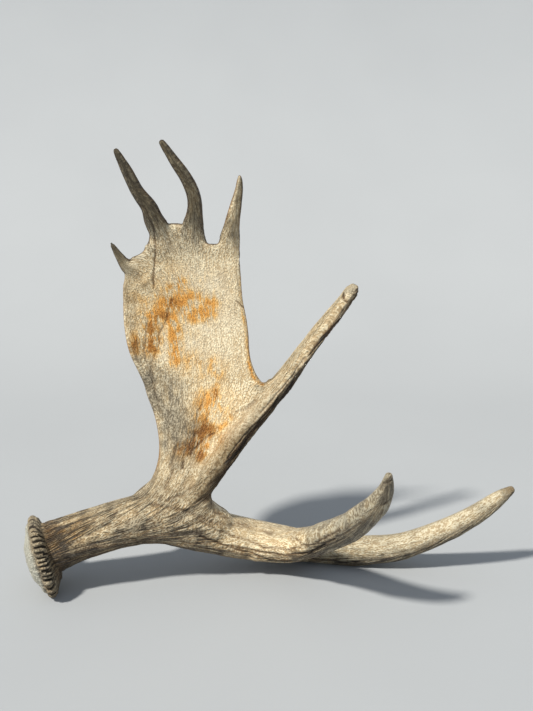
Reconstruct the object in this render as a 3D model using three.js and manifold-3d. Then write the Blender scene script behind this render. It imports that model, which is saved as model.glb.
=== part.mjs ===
// Shed moose antler of a young bull, standing on its burr and its brow branch.
// Millimetres, +Z up. +X runs from the burr to the brow tines, +Y runs away from the
// hollow (cupped) face of the palm. The stations below count X and Y from the burr's foot.
// The finished nodes have their origin in the middle of the antler's box, on the floor.
//
// The antler is one grown piece. It is lofted limb by limb, joined into one solid and
// then parted at its main forks, with a hairline gap at each parting.
import * as THREE from 'three';
import { mergeVertices } from 'three/addons/utils/BufferGeometryUtils.js';
import Module from 'manifold-3d';

const wasm = await Module();
wasm.setup();

// ---------------------------------------------------------------- driving dimensions
const FORK_GAP = 0.3;        // hairline between two nodes at a fork
const FLOOR_SINK = 1.5;      // how far the lowest knobs are worn flat where it rests
const LIMB_SIDES = 16;       // facets round a round limb
const PALM_SIDES = 28;       // facets round a palm section
const PALM_EDGE = 0.55;      // below 1 squares the palm section towards a plate
const STEP_LENGTH = 13;      // longest stride between two limb sections
const FINE_STEP_LENGTH = 9;  // the same for fine limbs
const FINE_LIMB = 10;        // a limb is fine when its half thickness stays below this
const TIP_RINGS = [          // rounding of a limb's free end: [share of size, share of its reach]
  [0.8, 0.6],
  [0.4, 0.92],
];
const PALM_ROWS_PER_SECTION = 1.5;

const BURR_CENTRE = [-7.5, 10, 43.6];
const BURR_RISE = 12;        // degrees the beam rises out of the burr
const BURR_TURN = 15;        // degrees the beam turns away from the cupped side
const BURR_DEPTH_RATIO = 0.9;
const BURR_SQUARENESS = 2.4; // 2 is a plain oval outline
const BURR_PEARLS = 23;
const BURR_PEARL_HEIGHT = 2.6;
const BURR_PEARL_VARIETY = 0.25; // share by which the pearls differ in height
const BURR_PEARL_WAVES = [5, 3]; // how often they grow and shrink round the burr
const BURR_SIDES_PER_PEARL = 2;

// Limb sections: [x, y, z, half width in the X-Z plane, half thickness across it].
const BEAM = [
  [-5, 11, 48, 29, 28],
  [5, 14, 53.5, 28, 27.5],
  [26, 18, 61, 26.5, 26.5],
  [56, 23, 69.8, 26, 26],
  [88, 30, 76.3, 26.8, 27.5],
  [121, 37, 78, 29.7, 29],
  [150, 43, 72.5, 32, 30],
  [178, 48, 59, 24.5, 28],
];
const BROW_BRANCH = [
  [120, 37, 77, 26, 28],
  [153, 44, 64, 26, 29],
  [186, 52, 50, 23, 29],
  [220, 59, 38.5, 21.5, 29],
  [252, 65, 30, 19, 29],
  [276, 66, 27, 15, 27],
];
const FRONT_BROW_TINE = [
  [226, 54, 38, 20, 25],
  [262, 43, 38.5, 17.6, 22],
  [289, 21, 55.5, 16.3, 18.5],
  [311, -12, 83.5, 15.9, 16.5],
  [326, -42, 108, 15, 15],
  [339, -68, 136, 13.2, 12.6],
  [349, -84, 158, 10.8, 10.1],
  [353.5, -94, 177, 7.2, 6.6],
  [354, -100, 191, 3.4, 3.3],
];
const BACK_BROW_TINE = [
  [236, 72, 30, 18, 22],
  [277, 76, 20.5, 17.5, 19],
  [318, 73, 17.8, 17.2, 17.5],
  [350, 68, 19.3, 16.8, 17],
  [392, 60, 28.3, 15.2, 15],
  [435, 53, 49.5, 13.6, 12.9],
  [467, 47, 71.5, 11.7, 11],
  [487, 43, 89.5, 9.8, 9.2],
  [498, 41, 100.5, 7.9, 7.3],
  [508, 39, 109.5, 4.6, 4.6],
];
const LATERAL_TINE = [
  [146, 43, 92, 22, 25],
  [170, 46, 123, 17.5, 19.5],
  [192, 50.5, 151, 15.3, 16.6],
  [216, 55, 180, 13.4, 13.9],
  [238.5, 59, 206.5, 12.3, 12],
  [257.5, 63.5, 229.5, 11.2, 10.8],
  [279, 69, 258.5, 10.1, 9.3],
  [302.5, 77, 288.5, 9, 8.2],
  [324, 84, 315, 7.7, 7],
  [332.5, 86, 326.5, 6.2, 5.7],
];
const CROWN_WEB = [
  [143, 58, 364, 28.3, 4.8],
  [143.5, 55, 384, 28.3, 4.8],
  [143.5, 50.5, 400, 26.3, 4.4],
];
// The palm's upper points in order: hind, tall, hooked, fore.
const POINTS = [
  [
    [113, 59, 339.5, 12, 5],
    [102.5, 56.5, 350.5, 10, 5.3],
    [94.5, 53, 358.5, 7.7, 5.5],
    [88.5, 48, 368, 4.9, 4.4],
    [83.5, 43, 379, 3.1, 3],
    [80.5, 40, 386, 1.8, 1.8],
  ],
  [
    [136, 58, 372, 14, 4.8],
    [130, 53, 394, 12.5, 5.5],
    [124, 44.5, 410, 10, 6.1],
    [120.5, 39.5, 422.5, 8.3, 6.2],
    [110.5, 32, 439.5, 6.7, 5.6],
    [101, 23.5, 463, 5.3, 4.6],
    [93.5, 17, 480.5, 2.8, 2.8],
  ],
  [
    [166.5, 58, 372, 13.5, 4.8],
    [165.5, 53, 392, 9.9, 5.5],
    [163.9, 48, 403.5, 10.8, 5.6],
    [165.2, 45.5, 410, 9.3, 6],
    [166.5, 40.5, 420.5, 7.6, 6.1],
    [166, 35, 434.5, 6.9, 5.8],
    [160.5, 29, 451, 6.3, 5.4],
    [149, 20.5, 471, 5.2, 4.7],
    [138.5, 13, 489, 3, 3],
  ],
  [
    [197, 56, 368, 13.5, 4.8],
    [201, 51.5, 388, 10.9, 5.3],
    [203, 46, 400, 8.5, 5.6],
    [205.5, 39.5, 413.5, 6.9, 5.3],
    [209, 33.5, 429.5, 5.4, 4.6],
    [212, 26, 445.5, 3.6, 3.4],
    [212.5, 22, 455, 1.9, 1.9],
  ],
];

// Palm sections: [z, left edge x, right edge x, middle y, thickness, cup depth].
const PALM = [
  [84, 80, 178, 43, 50, 0],
  [102, 93, 177, 44, 48, 0],
  [113.5, 107, 177.5, 46.5, 44, 0],
  [129.5, 115.5, 186, 50, 37, 1],
  [152, 120.5, 203.5, 55, 29, 2],
  [173, 119.5, 219, 60, 23.5, 4],
  [196, 115, 231, 62.5, 20, 6],
  [215, 108.5, 240, 65, 17.5, 8],
  [226, 106, 235.5, 66.5, 16.5, 8.5],
  [239, 101.5, 227, 66.5, 15.5, 9],
  [263, 92, 220.5, 67, 14.5, 10],
  [291, 87.5, 219, 67, 13.5, 10],
  [319.5, 87.5, 214, 65, 12.5, 9],
  [346.5, 89.5, 212, 62, 12, 8],
  [359, 92.5, 211, 60, 11.7, 7],
  [366, 96.5, 210.8, 59, 11.4, 6.5],
  [370, 104, 210.5, 58.2, 11, 6],
  [374.5, 111, 210.2, 57, 10.7, 5.7],
  [382, 114.5, 209.5, 55, 10.5, 5],
];

// Partings at the forks: planes, each a point on it and the direction it faces.
const CROTCH = [184, 45, 84];
const BROW_SIDE = [
  { at: CROTCH, facing: [0.93, 0.15, -0.34] },
  { at: CROTCH, facing: [0.73, 0, -0.68] },
];
const PALM_SIDE = [{ at: CROTCH, facing: [0.45, 0, 0.89] }];
const TINE_SIDE = [{ at: [282, 44, 45], facing: [1, 0, 0] }];
const BACK_TINE_SIDE = [{ at: [290, 42, 40], facing: [0.55, 0.82, -0.12] }];
const LATERAL_BOX = {
  at: [245, 60, 214.5],
  along: [0.61, 0.15, 0.78],
  halfAcross: 14,
  depth: 120,
  length: 220,
};
const BLOCK_SIZE = 1600; // larger than the whole antler, whichever way it is turned
const WELD = 1e-4;       // corners nearer than this are one corner

// ---------------------------------------------------------------- lofting
const FRONT = new THREE.Vector3(0, 1, 0);

// A closed skin over rings of points; the first and last ring each close on a middle point.
function closedSkin(rings) {
  const count = rings[0].length;
  const positions = [];
  const faces = [];
  rings.forEach((ring) => ring.forEach((p) => positions.push(p.x, p.y, p.z)));
  const middles = [rings[0], rings[rings.length - 1]].map((ring) => {
    const middle = new THREE.Vector3();
    ring.forEach((p) => middle.add(p));
    return middle.divideScalar(count);
  });
  middles.forEach((p) => positions.push(p.x, p.y, p.z));
  const startMiddle = rings.length * count;
  const endMiddle = startMiddle + 1;
  const lastRing = (rings.length - 1) * count;
  for (let k = 0; k < count; k += 1) {
    const next = (k + 1) % count;
    faces.push(startMiddle, next, k);
    faces.push(endMiddle, lastRing + k, lastRing + next);
    for (let r = 0; r < rings.length - 1; r += 1) {
      const here = r * count;
      const there = here + count;
      faces.push(here + k, here + next, there + next);
      faces.push(here + k, there + next, there + k);
    }
  }
  const geometry = new THREE.BufferGeometry();
  geometry.setAttribute('position', new THREE.Float32BufferAttribute(positions, 3));
  geometry.setIndex(faces);
  return geometry;
}

// Sections spread evenly along a smooth curve through the stations of a limb.
function smoothStations(stations) {
  const centres = stations.map(([x, y, z]) => new THREE.Vector3(x, y, z));
  const sizes = stations.map(([, , , wide, thick]) => new THREE.Vector3(wide, thick, 0));
  const path = new THREE.CatmullRomCurve3(centres, false, 'centripetal');
  const spread = new THREE.CatmullRomCurve3(sizes, false, 'catmullrom', 0.5);
  const thinnest = Math.max(...sizes.map((s) => Math.min(s.x, s.y)));
  const stride = thinnest < FINE_LIMB ? FINE_STEP_LENGTH : STEP_LENGTH;
  const sections = [];
  for (let i = 0; i < stations.length - 1; i += 1) {
    const span = centres[i].distanceTo(centres[i + 1]);
    const steps = Math.max(1, Math.round(span / stride));
    for (let s = 0; s < steps; s += 1) {
      sections.push((i + s / steps) / (stations.length - 1));
    }
  }
  sections.push(1);
  return sections.map((t) => ({
    centre: path.getPoint(t),
    along: path.getTangent(t),
    wide: spread.getPoint(t).x,
    thick: spread.getPoint(t).y,
  }));
}

// One ring of an oval limb section.
function ovalRing(section, shrink, shift) {
  const across = new THREE.Vector3().crossVectors(FRONT, section.along).normalize();
  const through = new THREE.Vector3().crossVectors(section.along, across).normalize();
  const ring = [];
  for (let k = 0; k < LIMB_SIDES; k += 1) {
    const angle = (2 * Math.PI * k) / LIMB_SIDES;
    const point = section.centre.clone();
    point.addScaledVector(across, Math.cos(angle) * section.wide * shrink);
    point.addScaledVector(through, Math.sin(angle) * section.thick * shrink);
    point.addScaledVector(section.along, shift);
    ring.push(point);
  }
  return ring;
}

// A limb: oval sections along its curve, rounded over at the free end.
function limb(stations) {
  const sections = smoothStations(stations);
  const rings = sections.map((section) => ovalRing(section, 1, 0));
  const tip = sections[sections.length - 1];
  const dome = Math.min(tip.wide, tip.thick);
  TIP_RINGS.forEach(([size, share]) => rings.push(ovalRing(tip, size, share * dome)));
  return closedSkin(rings);
}

// The palm: flat sections stacked upward, cupped so both edges come forward.
function palmBlade() {
  const curves = [1, 2, 3, 4, 5].map((column) => {
    const marks = PALM.map((row) => new THREE.Vector3(row[0], row[column], 0));
    return new THREE.CatmullRomCurve3(marks, false, 'centripetal');
  });
  const rings = [];
  const rows = Math.round(PALM_ROWS_PER_SECTION * (PALM.length - 1));
  for (let r = 0; r <= rows; r += 1) {
    const t = r / rows;
    const [left, right, middle, thickness, cup] = curves.map((curve) => curve.getPoint(t).y);
    const height = curves[0].getPoint(t).x;
    const half = (right - left) / 2;
    const ring = [];
    for (let k = 0; k < PALM_SIDES; k += 1) {
      const angle = (2 * Math.PI * k) / PALM_SIDES;
      const side = Math.cos(angle);
      const skin = Math.sign(Math.sin(angle)) * Math.abs(Math.sin(angle)) ** PALM_EDGE;
      const x = left + half + side * half;
      const y = middle - cup * side * side + (skin * thickness) / 2;
      ring.push(new THREE.Vector3(x, y, height));
    }
    rings.push(ring);
  }
  return closedSkin(rings);
}

// The burr: a domed seal where the antler was shed, ringed with knobs (pearls).
// Profile: [distance into the beam, radius, share of the pearl height].
const BURR_PROFILE = [
  [-15, 9, 0],
  [-13.4, 18, 0],
  [-10.6, 26, 0],
  [-7.4, 32, 0.1],
  [-4.6, 38, 0.7],
  [-1.5, 42.4, 1],
  [2.5, 42.6, 1],
  [6.5, 38, 0.7],
  [10.5, 31.5, 0.2],
  [15, 27, 0],
];

function burr() {
  const rise = THREE.MathUtils.degToRad(BURR_RISE);
  const turn = THREE.MathUtils.degToRad(BURR_TURN);
  const inward = new THREE.Vector3(
    Math.cos(rise) * Math.cos(turn),
    Math.cos(rise) * Math.sin(turn),
    Math.sin(rise),
  );
  const level = new THREE.Vector3(0, 0, 1).cross(inward).normalize();
  const upright = new THREE.Vector3().crossVectors(inward, level).normalize();
  const sides = BURR_PEARLS * BURR_SIDES_PER_PEARL;
  const [often, seldom] = BURR_PEARL_WAVES;
  const rings = BURR_PROFILE.map(([depth, radius, pearl]) => {
    const ring = [];
    for (let k = 0; k < sides; k += 1) {
      const angle = (2 * Math.PI * k) / sides;
      const knob = (k % BURR_SIDES_PER_PEARL === 0) ? 0 : 1;
      const wave = Math.sin(often * angle + 1) * Math.cos(seldom * angle);
      const uneven = 1 - BURR_PEARL_VARIETY * (1 - wave);
      const outline = (Math.abs(Math.cos(angle)) ** BURR_SQUARENESS
        + Math.abs(Math.sin(angle)) ** BURR_SQUARENESS) ** (-1 / BURR_SQUARENESS);
      const reach = radius * outline + pearl * knob * uneven * BURR_PEARL_HEIGHT;
      const point = new THREE.Vector3(...BURR_CENTRE);
      point.addScaledVector(inward, depth);
      point.addScaledVector(level, Math.cos(angle) * reach * BURR_DEPTH_RATIO);
      point.addScaledVector(upright, Math.sin(angle) * reach);
      ring.push(point);
    }
    return ring;
  });
  return closedSkin(rings);
}

// ---------------------------------------------------------------- joining and parting
function solidOf(geometry) {
  const bare = geometry.clone();
  bare.deleteAttribute('normal');
  bare.deleteAttribute('uv');
  const merged = mergeVertices(bare, WELD);
  return new wasm.Manifold(new wasm.Mesh({
    numProp: 3,
    vertProperties: new Float32Array(merged.attributes.position.array),
    triVerts: new Uint32Array(merged.index.array),
  }));
}

// A big block with one face on the plane at `at`, filling the side that `facing` points to.
function blockBeyond(at, facing, offset) {
  const normal = new THREE.Vector3(...facing).normalize();
  const block = new THREE.BoxGeometry(BLOCK_SIZE, BLOCK_SIZE, BLOCK_SIZE);
  const turn = new THREE.Quaternion().setFromUnitVectors(new THREE.Vector3(0, 0, 1), normal);
  block.applyQuaternion(turn);
  const centre = new THREE.Vector3(...at).addScaledVector(normal, BLOCK_SIZE / 2 + offset);
  block.translate(centre.x, centre.y, centre.z);
  return solidOf(block);
}

// A long box round the lateral tine, starting at its parting.
function lateralBox(slack) {
  const along = new THREE.Vector3(...LATERAL_BOX.along).normalize();
  const width = 2 * (LATERAL_BOX.halfAcross + slack);
  const box = new THREE.BoxGeometry(width, LATERAL_BOX.depth, LATERAL_BOX.length + slack);
  const across = new THREE.Vector3().crossVectors(FRONT, along).normalize();
  const through = new THREE.Vector3().crossVectors(along, across).normalize();
  const middle = new THREE.Vector3(...LATERAL_BOX.at);
  middle.addScaledVector(along, (LATERAL_BOX.length - slack) / 2);
  box.applyMatrix4(new THREE.Matrix4().makeBasis(across, through, along).setPosition(middle));
  return solidOf(box);
}

// The space on the facing side of every plane in the list.
function spaceBeyond(planes, offset) {
  const blocks = planes.map(({ at, facing }) => blockBeyond(at, facing, offset));
  return blocks.reduce((space, block) => space.intersect(block));
}

// Parts a solid in two with the hairline gap between.
function parted(solid, planes) {
  return {
    near: solid.subtract(spaceBeyond(planes, -FORK_GAP / 2)),
    far: solid.intersect(spaceBeyond(planes, FORK_GAP / 2)),
  };
}

const limbs = [BEAM, BROW_BRANCH, FRONT_BROW_TINE, BACK_BROW_TINE, LATERAL_TINE, CROWN_WEB, ...POINTS];
const grown = limbs.reduce(
  (solid, stations) => solid.add(solidOf(limb(stations))),
  solidOf(burr()).add(solidOf(palmBlade())),
);
const whole = grown.intersect(blockBeyond([0, 0, FLOOR_SINK], [0, 0, 1], 0));
const lateral = whole.intersect(lateralBox(0));
const brow = parted(whole.subtract(lateralBox(FORK_GAP)), BROW_SIDE);
const trunk = parted(brow.near, PALM_SIDE);
const browFork = parted(brow.far, TINE_SIDE);
const tines = parted(browFork.far, BACK_TINE_SIDE);

// ---------------------------------------------------------------- nodes
const SHADES = {
  beam: 0x9a8a6c,
  palm: 0xcbbd9d,
  lateral_tine: 0xb9ab8b,
  brow_branch: 0xa59674,
  front_brow_tine: 0xada382,
  back_brow_tine: 0xbba985,
};

// The frame's origin: the middle of the whole antler's box, on the floor.
const bounds = whole.boundingBox();
const ORIGIN = [
  (bounds.min[0] + bounds.max[0]) / 2,
  (bounds.min[1] + bounds.max[1]) / 2,
  bounds.min[2],
];

function node(name, solid) {
  const mesh = solid.getMesh();
  const geometry = new THREE.BufferGeometry();
  geometry.setAttribute('position', new THREE.Float32BufferAttribute(mesh.vertProperties, 3));
  geometry.setIndex(Array.from(mesh.triVerts));
  geometry.translate(-ORIGIN[0], -ORIGIN[1], -ORIGIN[2]);
  const bone = new THREE.MeshStandardMaterial({ color: SHADES[name], roughness: 0.8, metalness: 0 });
  const piece = new THREE.Mesh(geometry, bone);
  piece.name = name;
  return piece;
}

const antler = new THREE.Group();
antler.name = 'moose_antler';
antler.add(node('beam', trunk.near));
antler.add(node('palm', trunk.far));
antler.add(node('lateral_tine', lateral));
antler.add(node('brow_branch', browFork.near));
antler.add(node('front_brow_tine', tines.near));
antler.add(node('back_brow_tine', tines.far));

export default antler;
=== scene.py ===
# %% [markdown]
# # A shed moose antler
#
# An antler is bone that grew in one summer and was then dropped. It has a beam with a knobbly
# burr at its foot, a brow branch that forks into two tines, and a broad flat palm with points
# along its top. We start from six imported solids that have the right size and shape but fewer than
# ten thousand facets. The plan is to grow one fine skin over them, find out in which direction the
# bone grew, carve grooves and ridges along that direction, and colour the skin with it too.

import math

import bmesh
import bpy
import numpy as np
from mathutils import Matrix, Vector
from mathutils.bvhtree import BVHTree
from mathutils.kdtree import KDTree


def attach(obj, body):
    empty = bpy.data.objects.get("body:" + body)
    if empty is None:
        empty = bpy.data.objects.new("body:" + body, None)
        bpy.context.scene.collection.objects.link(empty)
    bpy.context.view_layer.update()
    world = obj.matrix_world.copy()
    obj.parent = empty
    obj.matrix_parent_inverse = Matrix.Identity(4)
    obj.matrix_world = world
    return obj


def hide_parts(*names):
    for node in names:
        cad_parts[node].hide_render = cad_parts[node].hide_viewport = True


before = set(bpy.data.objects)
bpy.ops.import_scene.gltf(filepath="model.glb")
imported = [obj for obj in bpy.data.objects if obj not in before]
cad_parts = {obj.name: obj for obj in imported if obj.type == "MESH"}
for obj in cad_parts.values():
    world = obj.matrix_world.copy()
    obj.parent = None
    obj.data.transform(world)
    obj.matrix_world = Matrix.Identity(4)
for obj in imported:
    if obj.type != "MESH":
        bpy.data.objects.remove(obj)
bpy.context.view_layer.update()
MM = 0.001

# %% [markdown]
# ## Camera
#
# We set the camera first, because it decides how fine the skin has to be. It stands a little less
# than a metre in front of the antler and looks down by 18 degrees, with a normal lens. One pixel
# then covers about one millimetre of bone.

# %% Place the camera
CAMERA_PLACE = (-0.00455, -0.94705, 0.58606)
CAMERA_PITCH = math.radians(18)
SENSOR_WIDTH, LENS = 36, 49.98

camera = bpy.data.objects.new("camera", bpy.data.cameras.new("camera"))
camera.data.sensor_width = SENSOR_WIDTH
camera.data.lens = LENS
camera.location = CAMERA_PLACE
camera.rotation_euler = (math.pi / 2 - CAMERA_PITCH, 0, 0)
bpy.context.scene.collection.objects.link(camera)
bpy.context.scene.camera = camera
print("camera at", CAMERA_PLACE)

# %% [markdown]
# ## Reading the solids
#
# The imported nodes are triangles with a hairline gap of 0.3 mm between neighbours at each fork. The
# real antler has no gap there. We read each node as plain arrays, and push the faces at a fork
# a little into the neighbour, so that the solids overlap and can melt into one skin. Arrays are
# quicker here than editing objects: a whole antler moves in one line.

# %% Read a node as welded points and triangles
WELD = 0.02 * MM


def node_arrays(node):
    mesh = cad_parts[node].data
    points = np.empty(len(mesh.vertices) * 3)
    mesh.vertices.foreach_get("co", points)
    mesh.calc_loop_triangles()
    corners = np.empty(len(mesh.loop_triangles) * 3, np.int32)
    mesh.loop_triangles.foreach_get("vertices", corners)
    keys = np.round(points.reshape(-1, 3) / WELD).astype(np.int64)
    _, first, same = np.unique(keys, axis=0, return_index=True, return_inverse=True)
    triangles = same.ravel()[corners].reshape(-1, 3)
    return points.reshape(-1, 3)[first], triangles


NODES = ["beam", "palm", "lateral_tine", "brow_branch", "front_brow_tine", "back_brow_tine"]
solids = {node: node_arrays(node) for node in NODES}
trees = {node: BVHTree.FromPolygons(*(part.tolist() for part in solids[node])) for node in NODES}
print("triangles:", {node: len(solids[node][1]) for node in NODES})

# %% Push the faces at a fork into the neighbouring solid
FORK_REACH = 0.5 * MM
FORK_OVERLAP = 0.8 * MM


def close_forks(node):
    """Moved points, and the unit push of each point that lies at a fork."""
    points, triangles = solids[node]
    push = np.zeros_like(points)
    for other in NODES:
        if other == node:
            continue
        for index, point in enumerate(points):
            place, _, _, distance = trees[other].find_nearest(Vector(point), FORK_REACH)
            if place is not None and distance > 0:
                push[index] = np.array(place - Vector(point)) / distance
    return points + push * FORK_OVERLAP, push


def unit(vectors):
    return vectors / np.maximum(np.linalg.norm(vectors, axis=-1, keepdims=True), 1e-12)


closed = {node: close_forks(node) for node in NODES}
print("points at forks:", {node: int(closed[node][1].any(axis=1).sum()) for node in NODES})

# %% [markdown]
# ## Rounding the facets
#
# Each facet is a chord across a rounded limb. We bend every triangle into a small curved patch
# that passes through its corners and follows their averaged normals. This is Phong tessellation,
# and it rounds the limbs without shrinking the tips, as smoothing would.

# %% Bend triangles into curved patches
PATCH_CUTS = 6
PATCH_BEND = 0.75
FORK_FACING = 0.8


def corner_normals(points, triangles, push):
    """Normals averaged over the outer skin only, weighted by the angle at each corner."""
    sides = points[triangles]
    flat = unit(np.cross(sides[:, 1] - sides[:, 0], sides[:, 2] - sides[:, 0]))
    facing_fork = np.abs((unit(push[triangles].sum(axis=1)) * flat).sum(axis=1)) > FORK_FACING
    at_fork = push.any(axis=1)[triangles].all(axis=1) & facing_fork
    normals = np.zeros_like(points)
    for k in range(3):
        ahead = unit(sides[:, (k + 1) % 3] - sides[:, k])
        behind = unit(sides[:, (k + 2) % 3] - sides[:, k])
        angle = np.arccos(np.clip((ahead * behind).sum(axis=1), -1, 1))
        angle[at_fork] = 0
        np.add.at(normals, triangles[:, k], flat * angle[:, None])
    return unit(normals)


def curved_patches(points, triangles, normals):
    steps = [(i, j, PATCH_CUTS - i - j) for i in range(PATCH_CUTS + 1)
             for j in range(PATCH_CUTS + 1 - i)]
    place = {step[:2]: index for index, step in enumerate(steps)}
    shares = np.array(steps) / PATCH_CUTS
    sides = points[triangles]
    flat = np.einsum("sk,tkc->tsc", shares, sides)
    bent = np.zeros_like(flat)
    for k in range(3):
        normal = normals[triangles[:, k]][:, None, :]
        height = ((flat - sides[:, k][:, None, :]) * normal).sum(axis=2, keepdims=True)
        bent += shares[:, k][None, :, None] * (flat - height * normal)
    patches = (1 - PATCH_BEND) * flat + PATCH_BEND * bent
    small = []
    for i, j in place:
        if i + j < PATCH_CUTS:
            small.append((place[i, j], place[i + 1, j], place[i, j + 1]))
        if i + j < PATCH_CUTS - 1:
            small.append((place[i + 1, j], place[i + 1, j + 1], place[i, j + 1]))
    offsets = np.arange(len(triangles))[:, None, None] * len(steps)
    return patches.reshape(-1, 3), (np.array(small)[None] + offsets).reshape(-1, 3)


patch_points, patch_triangles = [], []
for node in NODES:
    moved, push = closed[node]
    triangles = solids[node][1]
    patches, small = curved_patches(moved, triangles, corner_normals(moved, triangles, push))
    patch_triangles.append(small + sum(map(len, patch_points)))
    patch_points.append(patches)
print("curved patches:", sum(map(len, patch_triangles)), "small triangles")

# %% [markdown]
# The side tine leaves the palm in a round notch. The solids meet there in a sharp one, so we lay a
# short curved row of small balls in its bottom, which will melt into a web.

# %% Web the side notch
WEB_RADIUS = 4.5 * MM
WEB_PLACES = [(-16, 61, 226), (-12, 61.5, 223.8), (-8, 62.5, 222.5), (-4, 63.5, 223),
              (0, 66, 225.5)]

web = bmesh.new()
for place in WEB_PLACES:
    bmesh.ops.create_icosphere(web, subdivisions=2, radius=WEB_RADIUS,
                               matrix=Matrix.Translation(Vector(place) * MM))
web.verts.index_update()
patch_triangles.append(np.array([[corner.index for corner in face.verts] for face in web.faces])
                       + sum(map(len, patch_points)))
patch_points.append(np.array([corner.co[:] for corner in web.verts]))
web.free()
patch_points = np.concatenate(patch_points)
patch_triangles = np.concatenate(patch_triangles)
print("balls in the notch:", len(WEB_PLACES))

# %% [markdown]
# ## One skin
#
# A voxel remesh melts overlapping solids into a single skin of even little squares. We make two:
# a coarse one, on which sums over the whole antler are quick, and a fine one with squares of about
# a millimetre, small enough to carry real grooves.

# %% Make a mesh from arrays, and a skin from a mesh
def mesh_from(name, points, faces):
    mesh = bpy.data.meshes.new(name)
    mesh.vertices.add(len(points))
    mesh.vertices.foreach_set("co", np.ascontiguousarray(points, np.float32).ravel())
    mesh.loops.add(faces.size)
    mesh.loops.foreach_set("vertex_index", np.ascontiguousarray(faces, np.int32).ravel())
    mesh.polygons.add(len(faces))
    mesh.polygons.foreach_set("loop_start", np.arange(len(faces), dtype=np.int32) * faces.shape[1])
    mesh.update(calc_edges=True)
    return mesh


def voxel_skin(voxel):
    source = bpy.data.objects.new("melt", mesh_from("melt", patch_points, patch_triangles))
    bpy.context.scene.collection.objects.link(source)
    melt = source.modifiers.new("melt", "REMESH")
    melt.mode = "VOXEL"
    melt.voxel_size = voxel
    result = source.evaluated_get(bpy.context.evaluated_depsgraph_get()).to_mesh()
    points = np.empty(len(result.vertices) * 3)
    result.vertices.foreach_get("co", points)
    corners = np.empty(len(result.loops), np.int32)
    result.loops.foreach_get("vertex_index", corners)
    bpy.data.objects.remove(source)
    return points.reshape(-1, 3), corners.reshape(-1, 4)


COARSE_VOXEL = 3.2 * MM
FINE_VOXEL = 0.95 * MM
coarse_points, coarse_quads = voxel_skin(COARSE_VOXEL)
points, quads = voxel_skin(FINE_VOXEL)
print("coarse skin:", len(coarse_quads), "squares; fine skin:", len(quads), "squares")

# %% [markdown]
# ## Neighbours
#
# Most of what follows asks each point about the points around it: their mean place smooths the
# skin, their values pass on a growth line. We list the neighbours once, across edges and across
# the diagonals of each square, sorted by point, so that one call sums over all of them.

# %% List the neighbours of every point
def neighbour_table(quads, count):
    sides = [(0, 1), (1, 2), (2, 3), (3, 0), (0, 2), (1, 3)]
    ones = np.concatenate([quads[:, a] for a, _ in sides]).astype(np.int64)
    others = np.concatenate([quads[:, b] for _, b in sides]).astype(np.int64)
    keys = np.unique(np.concatenate([ones * count + others, others * count + ones]))
    here, there = keys // count, keys % count
    starts = np.searchsorted(here, np.arange(count))
    return here, there, starts


def around(values, table):
    """Sum over each point's neighbours."""
    return np.add.reduceat(values[table[1]], table[2], axis=0)


def skin_normals(points, quads):
    sides = points[quads]
    flat = np.cross(sides[:, 2] - sides[:, 0], sides[:, 3] - sides[:, 1])
    normals = np.empty_like(points)
    for axis in range(3):
        spread = np.repeat(flat[:, axis], 4)
        normals[:, axis] = np.bincount(quads.ravel(), spread, len(points))
    return unit(normals)


table = neighbour_table(quads, len(points))
neighbours = around(np.ones(len(points)), table)
print("neighbours of a point:", round(neighbours.mean(), 2))

# %% [markdown]
# ## Smoothing
#
# Two kinds. A light smoothing in and out again (Taubin's) takes away the steps of the voxels. Then
# a filling one, which only moves skin outward where it is hollow, turns the sharp creases where
# two solids met into the soft webs that bone grows at a fork. The burr keeps its folds. Last, the
# palm's flat faces are evened out below its points, which grow out of it without a ledge.

# %% Smooth the skin and fill its creases
FIRST_TURNS, FILL_TURNS, CROWN_TURNS, LAST_TURNS = 6, 60, 120, 3
SMOOTH_PULLS = (0.5, -0.52)
FILL_PULL, CROWN_PULL = 0.9, 0.6
NORMALS_LAST = 10
BURR_CENTRE = np.array([-250.75, 14.1, 43.6]) * MM
BURR_RISE = math.radians(12)
BURR_TURN = math.radians(15)
burr_axis = np.array([math.cos(BURR_RISE) * math.cos(BURR_TURN),
                      math.cos(BURR_RISE) * math.sin(BURR_TURN), math.sin(BURR_RISE)])


def step(values, low, high):
    """0 below low, 1 above high and smooth between; low may be the larger."""
    share = np.clip((values - low) / (high - low), 0, 1)
    return share * share * (3 - 2 * share)


def smooth(points, turns, table, neighbours):
    for _ in range(turns):
        for pull in SMOOTH_PULLS:
            points = points + pull * (around(points, table) / neighbours[:, None] - points)
    return points


def fill_creases(points, turns, keep):
    for turn in range(turns):
        if turn % NORMALS_LAST == 0:
            normals = skin_normals(points, quads)
        lift = ((around(points, table) / neighbours[:, None] - points) * normals).sum(axis=1)
        points = points + normals * (np.maximum(lift, 0) * keep * FILL_PULL)[:, None]
    return points


points = smooth(points, FIRST_TURNS, table, neighbours)
past_burr = (points - BURR_CENTRE) @ burr_axis
points = fill_creases(points, FILL_TURNS, step(past_burr, 16 * MM, 30 * MM))
rise = points[:, 2] / MM
crown_face = (step(rise, 358, 370) * step(rise, 410, 396) * step(points[:, 0] / MM, -20, -30)
              * step(np.abs(skin_normals(points, quads)[:, 1]), 0.35, 0.75))
crown_face = around(crown_face, table) / neighbours
for _ in range(CROWN_TURNS):
    mean_place = around(points, table) / neighbours[:, None]
    points += crown_face[:, None] * CROWN_PULL * (mean_place - points)
points = smooth(points, LAST_TURNS, table, neighbours)
normals = skin_normals(points, quads)
print("skin box in mm:", (points.min(axis=0) / MM).round(1), (points.max(axis=0) / MM).round(1))

# %% [markdown]
# ## Which way the bone grew
#
# Antler grows from the burr towards every tip at once, and its grooves, ridges and flecks run that
# way. We get this direction from a simple idea: warm every tip, cool the burr, and let the heat
# settle over the skin. Heat then falls from the tips to the burr along smooth lines which
# part at the forks, as the bone's own grain does. The coarse skin is enough for this.

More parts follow.
